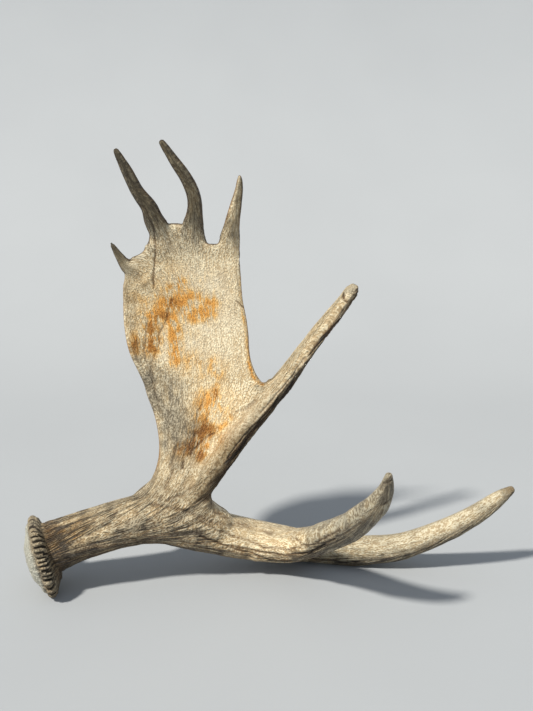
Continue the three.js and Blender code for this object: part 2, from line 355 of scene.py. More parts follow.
# %% Let the warmth settle over the coarse skin
TIPS = np.array([(-162.5, 44, 386), (-149.5, 13, 482), (-104.5, 9, 491), (-31, 26, 457),
                 (91, 90, 330), (111, -96, 193), (266, 43, 112)]) * MM
TIP_REACH = 7 * MM
SETTLE_TURNS = 400

coarse_table = neighbour_table(coarse_quads, len(coarse_points))
coarse_neighbours = around(np.ones(len(coarse_points)), coarse_table)
at_tip = np.zeros(len(coarse_points), bool)
for tip in TIPS:
    gap = np.linalg.norm(coarse_points - tip, axis=1)
    at_tip |= gap < max(TIP_REACH, gap.min() + 2 * MM)
at_burr = (coarse_points - BURR_CENTRE) @ burr_axis < -6 * MM
fixed = at_tip | at_burr


def settle(held, fixed, turns):
    """Conjugate gradients for the level where each free point is the mean of its neighbours."""
    def unrest(values):
        values = np.where(fixed, 0, values)
        return np.where(fixed, 0, coarse_neighbours * values - around(values, coarse_table))
    level = np.where(fixed, held, 0.0)
    rest = np.where(fixed, 0, around(level, coarse_table))
    guess = np.zeros_like(level)
    heading = rest.copy()
    size = rest @ rest
    for _ in range(turns):
        back = unrest(heading)
        pace = size / (heading @ back)
        guess += pace * heading
        rest -= pace * back
        size, before = rest @ rest, size
        heading = rest + size / before * heading
    return np.where(fixed, held, guess)


warmth = settle(at_tip.astype(float), fixed, SETTLE_TURNS)
print("tips warmed:", int(at_tip.sum()), "points; warmth spans", warmth.min(), warmth.max())

# %% [markdown]
# ## Stepping back along a growth line
#
# From any point we can take one small step back towards the burr. The step crosses the line between
# two neighbours, one to its left and one to its right, and the two shares say how near it passes to
# each. Handing values on in these shares carries them down the lines without smearing them.

# %% Find the step back from every point
DISTANCE_TURNS, DISTANCE_BLURS = 300, 4


def steps_back(level, points, quads, table):
    here, there, starts = table
    normals = skin_normals(points, quads)
    spare = np.where(np.abs(normals[:, 2:]) < 0.9, [[0, 0, 1]], [[1, 0, 0]])
    side = unit(np.cross(normals, spare))
    other = np.cross(normals, side)
    gap = points[there] - points[here]
    u, v = (gap * side[here]).sum(axis=1), (gap * other[here]).sum(axis=1)
    rise = level[there] - level[here]
    uu, uv, vv, ur, vr = (np.add.reduceat(part, starts)
                          for part in (u * u, u * v, v * v, u * rise, v * rise))
    slope_u, slope_v = vv * ur - uv * vr, uu * vr - uv * ur
    steep = np.maximum(np.hypot(slope_u, slope_v), 1e-30)
    slope_u, slope_v = slope_u / steep, slope_v / steep
    ahead = -(u * slope_u[here] + v * slope_v[here])
    across = u * slope_v[here] - v * slope_u[here]
    turn = np.arctan2(across, ahead)
    order = np.lexsort((turn, here))
    on_right = np.add.reduceat((turn < 0).astype(np.int64), starts)
    size = np.diff(np.append(starts, len(here)))
    left = order[starts + np.where(on_right < size, on_right, 0)]
    right = order[starts + np.where(on_right > 0, on_right, size) - 1]
    off_left, off_right = np.abs(across[left]), np.abs(across[right])
    share = off_right / np.maximum(off_left + off_right, 1e-12)
    length = share * ahead[left] + (1 - share) * ahead[right]
    return there[left], there[right], share, length


left, right, share, length = steps_back(warmth, coarse_points, coarse_quads, coarse_table)
moving = ~at_burr & (length > 0)
distance = np.zeros(len(coarse_points))
for _ in range(DISTANCE_TURNS):
    behind = share * distance[left] + (1 - share) * distance[right]
    distance = np.where(moving, behind + length, 0)
for _ in range(DISTANCE_BLURS):
    distance = around(distance, coarse_table) / coarse_neighbours
print("longest growth line:", round(distance.max() / MM), "mm")

# %% [markdown]
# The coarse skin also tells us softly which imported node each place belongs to. The beam is rough,
# the palm nearly smooth and the tines are polished by rubbing, so we will want those shares. We
# carry them over to the fine skin together with the warmth and the distance.

# %% Carry the coarse fields over to the fine skin
SHARE_BLURS, FIELD_BLURS = 16, 50
CLOSEST = 4
CLOSENESS_LIMIT = 0.5 * MM

all_points = np.concatenate([solids[node][0] for node in NODES])
counts = [len(solids[node][0]) for node in NODES]
offsets = np.cumsum([0] + counts[:-1])
all_triangles = np.concatenate([solids[node][1] + offset for node, offset in zip(NODES, offsets)])
owner = np.repeat(np.arange(len(NODES)), [len(solids[node][1]) for node in NODES])
whole = BVHTree.FromPolygons(all_points.tolist(), all_triangles.tolist())
coarse_home = np.array([owner[whole.find_nearest(place)[2]] for place in coarse_points.tolist()])
belongs = (coarse_home[:, None] == np.arange(len(NODES))).astype(float)
for _ in range(SHARE_BLURS):
    belongs = around(belongs, coarse_table) / coarse_neighbours[:, None]
coarse_fields = np.column_stack([warmth, distance, belongs])

finder = KDTree(len(coarse_points))
for index, place in enumerate(coarse_points):
    finder.insert(place, index)
finder.balance()
found = [finder.find_n(place, CLOSEST) for place in points.tolist()]
nearest = np.array([[item[1] for item in few] for few in found])
closeness = np.array([[1 / (item[2] + CLOSENESS_LIMIT) ** 2 for item in few] for few in found])
closeness /= closeness.sum(axis=1, keepdims=True)
fields = np.einsum("pk,pkf->pf", closeness, coarse_fields[nearest])
for _ in range(FIELD_BLURS):
    fields = around(fields, table) / neighbours[:, None]
level, grown = fields[:, 0], fields[:, 1]
region = {node: fields[:, 2 + index] for index, node in enumerate(NODES)}
print("growth distance on the fine skin:", round(grown.max() / MM), "mm")

# %% [markdown]
# ## Where each growth line came from
#
# If a point knows the place its line passed a while ago, then any noise read at that place is a
# streak: it changes across the lines but not along them. Lines spread apart over the palm, so
# streaks that started at the burr would be far too wide there. We start them afresh every few
# centimetres, in two sets half a length apart, and fade from one to the other to hide the seams.

# %% Trace both sets of streak starts
STREAK = 58 * MM
TRACE_TURNS = 86
left, right, share, length = steps_back(level, points, quads, table)
share = share[:, None]
moving = ((past_burr > 9 * MM) & (length > 0))[:, None]


def streak_starts(offset):
    lap = np.floor((grown + offset) / STREAK)
    from_left = share * (moving[:, 0] & (lap[left] == lap))[:, None]
    from_right = (1 - share) * (moving[:, 0] & (lap[right] == lap))[:, None]
    own = np.where(moving, (share - from_left) * points[left]
                   + (1 - share - from_right) * points[right], points)
    start = points.copy()
    for _ in range(TRACE_TURNS):
        start = from_left * start[left] + from_right * start[right] + own
    return start


start_one = streak_starts(0.0)
start_two = streak_starts(STREAK / 2)
fade = np.sin(math.pi * np.mod(grown / STREAK, 1)) ** 2


def keeps_width(start):
    """1 where streaks keep their width, 0 where the lines fan out or crowd together."""
    here, there, starts = table
    moved = np.add.reduceat(((start[there] - start[here]) ** 2).sum(axis=1), starts)
    apart = np.add.reduceat(((points[there] - points[here]) ** 2).sum(axis=1), starts)
    stretch = np.sqrt(2 * moved / apart)
    return step(stretch, 0.35, 0.65)


kept_one, kept_two = keeps_width(start_one), keeps_width(start_two)
print("streaks keep their width over", ((kept_one + kept_two) / 2).mean().round(2), "of the skin")
print("streak starts lie", round(np.linalg.norm(points - start_one, axis=1).mean() / MM),
      "mm back on average")

# %% [markdown]
# ## Noise
#
# Noise is a smooth random number for any place, the same each time it is asked. Read at a point it
# gives blotches. Read at the place where the point's growth line started, together with the
# distance along the line, it gives streaks. Where it crosses zero it draws thin lines, and these
# make furrows that run with the growth, fade out and start again.

# %% Blotches, streaks and furrows
PRIMES = np.array([73856093, 19349663, 83492791, 49979687])
SEED_PRIME = 7919
SCRAMBLE = 1274126177
LARGEST = 0xFFFFFF


def noise(places, seed):
    """Random numbers from -1 to 1, one cell of the noise being one unit wide."""
    cell = np.floor(places).astype(np.int64)
    part = places - cell
    part = part * part * (3 - 2 * part)
    total = np.zeros(len(places))
    for corner in np.ndindex(*(2,) * places.shape[1]):
        key = ((cell + corner) * PRIMES[:places.shape[1]]).sum(axis=1) + seed * SEED_PRIME
        key = (key ^ (key >> 13)) * SCRAMBLE
        key = (key ^ (key >> 16)) & LARGEST
        weight = np.where(corner, part, 1 - part).prod(axis=1)
        total += weight * (key / (LARGEST // 2) - 1)
    return total


def blotches(size, seed):
    return noise(points / size, seed)


def streaks(width, length, seed):
    one = noise(np.column_stack([start_one / width, grown / length]), seed)
    two = noise(np.column_stack([start_two / width, grown / length]), seed + 1)
    return (fade * one + (1 - fade) * two) / np.sqrt(fade ** 2 + (1 - fade) ** 2)


def furrows(width, thin, seed):
    """1 along thin lines that run with the growth, a few widths apart."""
    waves = [noise(start / width, seed) + 0.5 * noise(start * 2.3 / width, seed + 1)
             for start in (start_one, start_two)]
    one, two = (np.clip(1 - np.abs(wave) / thin, 0, 1) for wave in waves)
    return np.maximum(one * kept_one * step(fade, 0.15, 0.6),
                      two * kept_two * step(fade, 0.85, 0.4))


broad = streaks(8 * MM, 70 * MM, 11)
middling = streaks(4 * MM, 30 * MM, 21)
narrow = streaks(2.3 * MM, 11 * MM, 31)
deep_furrows = furrows(7 * MM, 0.2, 41) * step(streaks(9 * MM, 60 * MM, 43), -0.35, 0.25)
fine_furrows = furrows(4 * MM, 0.25, 51) * step(streaks(5 * MM, 40 * MM, 53), -0.3, 0.3)
print("streaks vary by", broad.std().round(2), middling.std().round(2), narrow.std().round(2),
      "furrows cover", (deep_furrows > 0.5).mean().round(2), (fine_furrows > 0.5).mean().round(2))

# %% [markdown]
# ## Rough and smooth parts
#
# The ridges are strongest on the beam, above all underneath, and along the lower side of the side
# tine and brow branch. They fade on the palm's hollow face and out along the tines, which the
# living animal polished by rubbing.

# %% Say how rough each point is
# Each calm place at the main fork: middle and reach.
CALM_PLACES = (((-42, 20, 111), 36), ((-25, 36, 57), 30))

below = step(normals[:, 2], 0.35, -0.45)
out_right = step(normals[:, 0] * 0.75 - normals[:, 2] * 0.66, 0.0, 0.55)
hollow_face = step(-normals[:, 1], 0.1, 0.7)
outer_face = step(normals[:, 1], 0.1, 0.7)
x, _, z = (points / MM).T
palm_share = region["palm"]
beam_share = region["beam"]
branch_share = region["brow_branch"]
side_share = region["lateral_tine"]
front_share, back_share = region["front_brow_tine"], region["back_brow_tine"]
rib_share = np.clip(side_share + palm_share * step(x - 0.78 * z, -200, -160) * step(z, 60, 110)
                    * step(z, 260, 225), 0, 1)
neck = step(z, 200, 110) * palm_share
crown = palm_share * step(z, 355, 400)
rough = (beam_share * (0.9 + 0.3 * below)
         + branch_share * (0.65 + 0.4 * below)
         + palm_share * (0.14 + 0.3 * outer_face + 0.3 * neck)
         + crown * 0.2
         + side_share * 0.45
         + rib_share * (0.2 + out_right * 1.1)
         + front_share * (0.08 + 0.7 * (0.3 + 0.7 * below) * step(x, 105, 45))
         + back_share * (0.12 + 0.6 * below + 0.4 * step(x, 190, 90)))
near_burr = step(past_burr, 75 * MM, 14 * MM)
calm = np.maximum(*(np.exp(-(np.linalg.norm(points / MM - place, axis=1) / reach) ** 2)
                    for place, reach in CALM_PLACES))
rough *= 1 - 0.6 * calm
lined = np.clip(0.3 + 0.3 * beam_share + 0.5 * near_burr + 0.7 * below - 0.3 * calm, 0, 1)
print("roughness from", rough.min().round(2), "to", rough.max().round(2))

# %% [markdown]
# ## Marks set one by one
#
# Some marks belong to this antler alone: the dark lines where blood vessels lay on the palm, the
# rust-coloured stains around them, the slanting rubbed cuts near the front brow tip. Each is a
# short list of places on the skin, in millimetres, with a width. A little noise makes the lines
# wander.

# %% Measure how near each point is to a line
DEPTH_SHARE = np.array([1, 0.2, 1])
WANDER = 1.1 * MM

wander = np.column_stack([blotches(7 * MM, seed) for seed in (61, 62, 63)]) * WANDER


def nearness(places, width, spots):
    """1 on the line through the places, falling to 0 a few widths away; depth counts little."""
    spots = spots * DEPTH_SHARE
    places, width = np.array(places) * MM * DEPTH_SHARE, width * MM
    near = np.where(((spots > places.min(axis=0) - 3 * width)
                     & (spots < places.max(axis=0) + 3 * width)).all(axis=1))[0]
    closest = np.full(len(near), np.inf)
    for start, end in zip(places[:-1], places[1:]):
        span = end - start
        part = np.clip((spots[near] - start) @ span / (span @ span), 0, 1)
        gap = np.linalg.norm(spots[near] - start - part[:, None] * span, axis=1)
        closest = np.minimum(closest, gap)
    result = np.zeros(len(points))
    result[near] = np.exp(-(closest / width) ** 2)
    return result


# Each vessel line: width, depth, darkness, places.
VESSELS = [
    (1.0, 0.7, 0.9, [(-128, 38, 424), (-124, 40, 415), (-119, 47, 399), (-119, 54, 386),
                     (-120, 55, 368), (-122, 58, 353), (-123, 60, 334)]),
    (0.9, 0.3, 0.45, [(-115, 41, 414), (-114, 48, 399), (-115, 54, 383)]),
    (1.1, 0.5, 0.6, [(-103, 62, 320), (-108, 63, 309), (-111, 63, 298), (-115, 63, 290),
                     (-120, 62, 280), (-119, 62, 273), (-123, 61, 264)]),
    (1.5, 0.5, 0.55, [(-123, 61, 264), (-128, 60, 250), (-129, 59, 237), (-127, 59, 226),
                      (-121, 58, 200)]),
    (1.1, 0.4, 0.6, [(-131, 61, 295), (-132, 61, 283), (-135, 60, 271), (-135, 60, 261),
                     (-133, 59, 251), (-130, 59, 240), (-128, 59, 226)]),
    (0.9, 0.2, 0.5, [(-133, 60, 264), (-128, 61, 263), (-123, 61, 264)]),
    (1.0, 0.6, 0.65, [(-70, 61, 215), (-74, 59, 208), (-78, 57, 198), (-82, 55, 185),
                      (-83, 52, 172), (-83, 51, 167)]),
    (0.9, 0.3, 0.6, [(-59, 61, 219), (-58, 60, 212)]),
    (1.0, 0.3, 0.5, [(-68, 56, 193), (-70, 55, 185)]),
    (1.2, 0.7, 0.8, [(-62, 52, 172), (-70, 51, 168), (-78, 49, 161), (-86, 46, 155),
                     (-88, 44, 150)]),
    (1.8, 0.6, 0.5, [(-102, 49, 159), (-107, 44, 147), (-108, 37, 130), (-116, 31, 116)]),
    (1.3, 0.8, 0.9, [(-95, 42, 143), (-96, 39, 137)]),
    (1.1, 0.4, 0.5, [(-16, 57, 210), (-27, 56, 200), (-37, 56, 195)]),
    (1.8, 1.1, 0.6, [(-129, 25, 101), (-107, 23, 97), (-85, 24, 89), (-66, 28, 78), (-50, 37, 69),
                     (-23, 54, 59)]),
    (1.5, 0.7, 0.6, [(-112, 26, 104), (-94, 31, 112), (-80, 36, 122)]),
    (1.0, 0.4, 0.7, [(-136, 11, 82), (-119, 14, 84)]),
    (0.8, 0.5, 0.9, [(-36, 58, 320), (-29, 59, 313)]),
    (0.9, 0.2, 0.35, [(-65, 63, 289), (-70, 63, 275), (-73, 64, 266)]),
    (1.1, 0.7, 0.8, [(102, -89, 174), (107, -97, 183), (114, -97, 188)]),
    (1.0, 0.6, 0.8, [(107, -90, 157), (112, -92, 162), (115, -91, 165)]),
    (1.0, 0.6, 0.8, [(107, -96, 183), (112, -99, 191)]),
    (1.3, 0.8, 1.0, [(78, 87, 321), (79, 82, 317)]),
    (1.2, 0.7, 1.0, [(79, 81, 315), (82, 81, 313)]),
    (1.4, 1.0, 0.7, [(-62, 39, 84), (-34, 51, 63), (-1, 48, 54), (32, 17, 59)]),
    (1.4, 1.0, 0.7, [(-77, 24, 81), (-45, 34, 58), (-10, 33, 43), (24, 20, 43)]),
    (1.3, 1.2, 1.0, [(-51, 29, 49), (-17, 33, 38), (16, 25, 37), (43, 5, 51), (66, -35, 89)]),
    (1.3, 1.2, 1.0, [(-77, 20, 64), (-40, 30, 42), (-1, 33, 27), (33, 25, 30), (58, -4, 56)]),
    (1.1, 1.0, 0.9, [(-10, 33, 42), (21, 22, 45), (47, -5, 68), (70, -46, 107)]),
    (1.3, 1.2, 0.9, [(-46, 42, 139), (-32, 45, 158), (-16, 50, 178), (-2, 54, 194), (13, 59, 211),
                     (26, 63, 229)]),
    (1.1, 1.0, 0.8, [(-47, 39, 149), (-36, 42, 164), (-22, 46, 180), (-9, 50, 191), (5, 54, 207),
                     (18, 58, 225)]),
    (1.0, 0.8, 0.7, [(-9, 50, 199), (2, 53, 211), (11, 56, 222), (22, 59, 234), (37, 64, 255)]),
    (0.9, 0.6, 0.6, [(-28, 56, 201), (-18, 57, 209)]),
    (1.0, 0.8, 0.7, [(12, 60, 208), (25, 64, 226), (45, 70, 254), (60, 76, 274)]),
]
# Each stain: width, strength, places.
RUST = [
    (10, 1.0, [(-124, 62, 300), (-117, 62, 308), (-111, 62, 314), (-104, 62, 318), (-98, 63, 316)]),
    (6, 0.7, [(-104, 62, 320), (-98, 62, 330), (-95, 62, 340)]),
    (8, 0.75, [(-103, 61, 331), (-96, 62, 326), (-89, 62, 323)]),
    (10, 0.75, [(-98, 64, 312), (-82, 64, 303), (-69, 63, 305), (-64, 62, 314)]),
    (26, 0.28, [(-122, 62, 318), (-108, 62, 290)]),
    (22, 0.2, [(-95, 62, 330), (-75, 62, 318)]),
    (6, 0.5, [(-84, 62, 325), (-75, 62, 322)]),
    (7, 0.85, [(-106, 64, 303), (-103, 64, 290), (-102, 64, 275), (-103, 63, 252)]),
    (10, 0.8, [(-129, 62, 292), (-129, 62, 280), (-127, 61, 268)]),
    (8, 0.45, [(-142, 59, 280), (-146, 58, 266)]),
    (10, 1.0, [(-72, 52, 174), (-79, 50, 163)]),
    (9, 0.7, [(-82, 48, 158), (-96, 47, 156)]),
    (8, 0.8, [(-77, 45, 151), (-71, 47, 158)]),
    (6, 0.5, [(-59, 61, 222), (-61, 60, 208)]),
    (17, 0.55, [(-65, 58, 205), (-72, 54, 172)]),
    (4, 0.5, [(-43, 55, 189), (-57, 53, 177)]),
    (5, 0.45, [(-63, 62, 252), (-63, 62, 248)]),
    (5, 0.4, [(-76, 63, 254), (-76, 63, 250)]),
    (14, 0.3, [(-60, 62, 240), (-85, 62, 250)]),
    (1.6, 0.6, [(-24, 58, 252), (-20, 59, 237), (-15, 59, 230), (-9, 62, 226)]),
    (2.5, 0.3, [(-33, 57, 345), (-28, 58, 301), (-25, 59, 274), (-22, 60, 250)]),
    (20, 0.12, [(-100, 62, 345), (-60, 62, 330)]),
    (14, 0.22, [(-228, 0, 74), (-206, 4, 78)]),
]
UMBER = [
    (6, 0.9, [(-127, 62, 290), (-128, 62, 280), (-127, 61, 269)]),
    (4, 0.8, [(-120, 62, 300), (-110, 62, 303)]),
    (4, 0.7, [(-105, 62, 320), (-100, 62, 312)]),
    (5, 0.7, [(-143, 59, 273), (-146, 58, 266)]),
    (9, 1.0, [(-71, 52, 176), (-84, 49, 160)]),
    (7, 0.6, [(-96, 47, 156), (-78, 45, 150)]),
    (3, 0.5, [(-59, 61, 220), (-61, 60, 212)]),
]
PALE_AND_PAINTED_LIGHT = [
    (8, 0.9, [(-88, 64, 291), (-75, 64, 292), (-66, 63, 286), (-76, 64, 277), (-87, 64, 269)]),
    (5, 0.9, [(-112, 63, 285), (-113, 63, 270), (-115, 62, 255)]),
    # the next two wide patches paint light on the palm's bright centre; the other marks here are the
    # bone's own pale marks
    (22, 0.85, [(-85, 61, 345), (-59, 60, 340), (-49, 61, 298)]),
    (24, 0.6, [(-76, 64, 275), (-55, 62, 262)]),
    (12, 0.5, [(-25, 50, 180), (10, 58, 215)]),
    (7, 1.0, [(83, 84, 323), (89, 86, 328)]),
]
vein = np.zeros(len(points))
carved = np.zeros(len(points))
broken = step(streaks(4 * MM, 9 * MM, 66), -0.8, 0.0)
front = step(-normals[:, 1], -0.1, 0.3)
for width, depth, darkness, places in VESSELS:
    mark = nearness(places, width, points + wander) * front
    carved = np.maximum(carved, mark * depth)
    vein = np.maximum(vein, mark * darkness * (0.8 + 0.2 * broken))
print("lines carved:", len(VESSELS), "stains laid:", len(RUST) + len(UMBER) + len(PALE_AND_PAINTED_LIGHT))

# %% [markdown]
# ## The burr
#
# The burr is the collar of bony pearls around the foot of the beam. We raise two rows of pearls
# around its crest, each pearl a little different, with cuts between them that hold dirt and painted
# shade, and leave the domed seal that tore off the skull chalky and finely pitted. Just past the
# burr, a band of painted shadow darkens the beam.

# %% Raise the pearls
CREST_PEARLS, INNER_PEARLS = 44, 36
PEARL_WOBBLE = 0.7
PEARL_SHIFT = 1.8 * MM
PEARL_SIZE, PEARL_VARIETY = 0.65, 0.35

from_burr = points - BURR_CENTRE
level_axis = unit(np.cross([0, 0, 1], burr_axis))
upright_axis = np.cross(burr_axis, level_axis)
angle = np.arctan2(from_burr @ upright_axis, from_burr @ level_axis)
radius = np.hypot(from_burr @ upright_axis, from_burr @ level_axis)
wobble = noise(np.column_stack([angle * 3, past_burr / (8 * MM)]), 71)


def pearl_row(count, middle, reach, seed):
    """Height of a row of pearls around the burr, and how near each point is to a cut."""
    turned = angle * count / (2 * math.pi) + PEARL_WOBBLE * wobble + seed
    which = np.floor(turned)
    lots = [noise(np.column_stack([which, np.full(len(points), row)]), seed) for row in (0.5, 3.5)]
    size = PEARL_SIZE + PEARL_VARIETY * lots[0]
    shift = PEARL_SHIFT * lots[1]
    off = np.abs(np.mod(turned, 1) - 0.5) * 2
    over = (past_burr - middle * MM - shift) / (reach * MM)
    inside = np.clip(1 - over ** 2, 0, 1) * step(radius, 28 * MM, 35 * MM)
    return (np.sqrt(np.clip(1 - off ** 2, 0, 1) * inside) * size,
            step(off, 0.42, 0.85) * step(inside, 0, 0.6) * (0.6 + 0.4 * size))


crest, crest_cuts = pearl_row(CREST_PEARLS, 1.5, 5.5, 3)
inner, inner_cuts = pearl_row(INNER_PEARLS, 8.5, 4.0, 5)
pearl = np.clip(crest + 0.7 * inner, 0, 1)
cuts = np.maximum(crest_cuts, inner_cuts * 0.8)
on_burr = (step(past_burr, -6 * MM, -4 * MM) * step(past_burr, 14 * MM, 11 * MM)
           * step(radius, 28 * MM, 34 * MM))
seal = step(past_burr, -4.0 * MM, -6.5 * MM)
# painted shadow that the burr casts on the beam just past it, a dark band
burr_shadow = step(past_burr, 5 * MM, 12 * MM) * step(past_burr, 34 * MM, 16 * MM)
print("pearls:", CREST_PEARLS + INNER_PEARLS, "seal points:", int((seal > 0.5).sum()))

# %% [markdown]
# ## Carving
#
# Now all of it becomes height, in millimetres along the skin's normals: ridges and furrows by
# roughness, knobs near the burr, pearls, and the vessel lines.

# %% Move the skin
PEARL_HEIGHT, CUT_DEPTH = 2.7, 1.9

plain = (1 - seal) * (1 - on_burr)
knobs = 0.6 * blotches(4.2 * MM, 81) + 0.35 * blotches(2.3 * MM, 82)
depth = plain * (1.15 * deep_furrows * step(rough, 0.25, 0.8) * (0.3 + 0.7 * lined)
                 + 0.55 * fine_furrows * step(rough, 0.1, 0.7))
height = plain * rough * (0.75 * broad + 0.45 * middling + 0.3 * narrow) - depth
height += near_burr * plain * knobs * 0.8
height += seal * (1.2 + 1.6 * blotches(12 * MM, 83) + 0.4 * blotches(3 * MM, 84))
height += on_burr * (PEARL_HEIGHT * pearl - CUT_DEPTH * cuts - 0.3)
height += palm_share * 0.35 * streaks(14 * MM, 110 * MM, 85) * (1 - crown)
height += front_share * 0.6 * blotches(16 * MM, 86) + side_share * 0.5 * blotches(14 * MM, 87)
height -= carved
points = points + normals * (height * MM)[:, None]
points = smooth(points, 1, table, neighbours)
points[:, 2] = np.maximum(points[:, 2], 0)
normals = skin_normals(points, quads)
# dirt and painted shade in the furrows and in the cuts between the pearls, darkest where the skin
# was carved deep
furrow_dirt_and_shade = np.clip(0.8 * step(depth, 0.3, 1.2) + on_burr * cuts * 1.5, 0, 1)
print("heights from", height.min().round(2), "to", height.max().round(2), "mm")

# %% [markdown]
# ## Colour fields
#
# The material will read these as named fields, each a number from 0 to 1 at each point: how far a
# stain has soaked in, how weathered the bone is, how deep a point lies in a furrow, where dirt and
# painted shade go. Only the last one, the distance grown from the burr, is in millimetres. Some
# fields are painted shade: on the undersides, behind the burr and on one side of a point; the pale
# marks include painted light on the palm's centre.

# %% Lay the stains, tones, painted shade and painted light
def laid(marks, face):
    total = np.zeros(len(points))
    for width, strength, places in marks:
        total = np.maximum(total, nearness(places, width, points) * strength)
    return total * face


def blend(*weights_and_places):
    """The sum of some places, each with its own weight."""
    return sum(weight * place for weight, place in weights_and_places)


low_left = nearness([(-130, 57, 225), (-108, 56, 205), (-98, 52, 172)], 31, points)
high_grey = nearness([(-120, 52, 375), (-70, 55, 378)], 20, points)
fore_point = palm_share * step(x, -64, -52) * step(z, 385, 402)
edge = palm_share * step(np.abs(normals[:, 1]), 0.85, 0.45)
weathered = blend((0.4, beam_share), (0.2, near_burr), (0.25, branch_share),
                  (0.55, front_share), (0.3, back_share), (0.2, side_share),
                  (0.25, neck), (0.38, palm_share * step(x, -118, -150)),
                  (0.42, palm_share * step(z, 350, 405)), (0.15, palm_share * step(z, 382, 404)),
                  (0.7, edge * step(z, 335, 360)), (0.45, palm_share * outer_face),
                  (0.7, low_left * hollow_face), (0.2, high_grey * hollow_face))
weathered *= (1 + 0.2 * blotches(8 * MM, 92)) * (1 - 0.5 * fore_point)
# a darker tone laid over whole regions: the beam, the branch, the tines, the rib and the neck
darker_tone = blend((0.4, beam_share), (0.15, branch_share), (0.28, front_share), (0.34, back_share),
             (0.34, side_share), (0.75, palm_share * rib_share), (0.42, neck))
darker_tone *= (1 - 0.5 * calm) * (1 + 0.25 * streaks(18 * MM, 60 * MM, 93))
tip_gap = np.linalg.norm(points - TIPS[-1], axis=1)
fissured = plain * (rough - 0.1) * 1.4 * lined
# darker points: the crown's left points and its far left edge are darker, and the second line paints
# shade on the right-facing side of the fore point
dark_points_and_shade = palm_share * step(z, 392, 425) * step(x, -45, -75)
dark_points_and_shade += palm_share * step(z, 392, 430) * step(x, -60, -45) * step(normals[:, 0], 0.1, 0.6)
dark_points_and_shade += palm_share * step(x, -145, -155) * step(z, 350, 365)
FIELDS = {
    "furrow_dirt_and_shade": furrow_dirt_and_shade,
    "vein": vein,
    "rust": laid(RUST, step(-normals[:, 1], -0.3, 0.3)),
    "umber": laid(UMBER, hollow_face),
    "pale_and_painted_light": laid(PALE_AND_PAINTED_LIGHT, hollow_face),
    "rim": edge * step(z, 110, 140),
    "weathered": weathered,
    "darker_tone": darker_tone,
    "seal": seal,
    "tip": step(tip_gap, 15 * MM, 3 * MM),
    "dark_points_and_shade": dark_points_and_shade,
    # painted shade: the undersides of beam, branch and tines, and the rib's lower right side, which
    # faces away from the key light, are darkened
    "shade_below": (rib_share * out_right + (beam_share * 0.7 + branch_share * 0.5) * below
              + (front_share + back_share) * below * 0.55),
    "burr_shadow": burr_shadow,
    "bleached": front_share + 0.9 * back_share,
    "rough": rough / rough.max(),
    "pearl": on_burr * pearl,
    "fissured_one": fissured * kept_one * step(fade, 0.12, 0.5),
    "fissured_two": fissured * kept_two * step(fade, 0.88, 0.5),
    "fade": fade,
}
FIELDS = {name: np.clip(values, 0, 1) for name, values in FIELDS.items()}
FIELDS["grown"] = grown / MM
print("fields:", {name: round(float(values.mean()), 3) for name, values in FIELDS.items()})

# %% [markdown]
# ## Shader expressions
#
# A material is a graph of nodes. Written out one node at a time it hides what it says, so one
# small class wraps a socket and lets it be added, subtracted and multiplied like a number. Each
# operation adds its Math node. All other nodes come from one method of the class Finish.

# %% Wrap sockets for expressions
class Wire:
    def __init__(self, finish, socket):
        self.finish, self.socket = finish, socket

    def maths(self, operation, *values):
        return self.finish.node("Math", {"operation": operation}, dict(enumerate(values)))

    def __add__(self, other):
        return self.maths("ADD", self, other)

    def __mul__(self, other):
        return self.maths("MULTIPLY", self, other)

    def __sub__(self, other):
        return self.maths("SUBTRACT", self, other)

    def __rsub__(self, other):
        return self.maths("SUBTRACT", other, self)

    __radd__ = __add__
    __rmul__ = __mul__

    def __abs__(self):
        return self.maths("ABSOLUTE", self)

    def clamped(self):
        return self.maths("MINIMUM", self.maths("MAXIMUM", self, 0.0), 1.0)

    def between(self, low, high):
        """0 at low, 1 at high and smooth between."""
        return self.finish.node("MapRange", {"interpolation_type": "SMOOTHSTEP"},
                                {"Value": self, "From Min": low, "From Max": high})


class Finish:
    # Sockets of a Mix node that mixes colours: the share, the two colours and the result.
    SHARE, UNDER, OVER, MIXED = 0, 6, 7, 2

    def __init__(self, name):
        self.material = bpy.data.materials.new(name)
        self.material.use_nodes = True
        self.tree = self.material.node_tree
        self.tree.nodes.clear()

    def node(self, kind, settings=None, sockets=None, output=0):
        made = self.tree.nodes.new("ShaderNode" + kind)
        for setting, value in (settings or {}).items():
            setattr(made, setting, value)
        for socket, value in (sockets or {}).items():
            if isinstance(value, Wire):
                self.tree.links.new(value.socket, made.inputs[socket])
            else:
                made.inputs[socket].default_value = value
        return Wire(self, made.outputs[output]) if made.outputs else made

    def field(self, name, output="Fac"):
        return self.node("Attribute", {"attribute_name": name}, output=output)

    def mix(self, share, under, over, blend="MIX"):
        """Colour under with share of colour over on it."""
        sockets = {self.SHARE: share}
        for socket, colour in ((self.UNDER, under), (self.OVER, over)):
            sockets[socket] = colour if isinstance(colour, Wire) else (*colour, 1)
        return self.node("Mix", {"data_type": "RGBA", "blend_type": blend}, sockets, self.MIXED)

    def tint(self, share, under, over):
        """Colour under, multiplied by colour over; this lays stains and painted shade."""
        return self.mix(share, under, over, "MULTIPLY")


print("shader words: Wire, Finish")

# %% [markdown]
# ## Bone
#
# Old shed antler is cream where the bone is clean, grey-olive where it weathered, and
# flecked all over with short dark pores that lie along the grain. Dirt and painted shade sit in the
# furrows, rust in the stains. We start from a middle tone, sink the pores and lift the crests
# between them, then tint with the stains, which soak in and so keep the pores showing. Painted shade
# darkens the undersides, the beam behind the burr and one side of a point, and painted light
# brightens the palm's centre. Roughness and a fine bump come from the same pores.

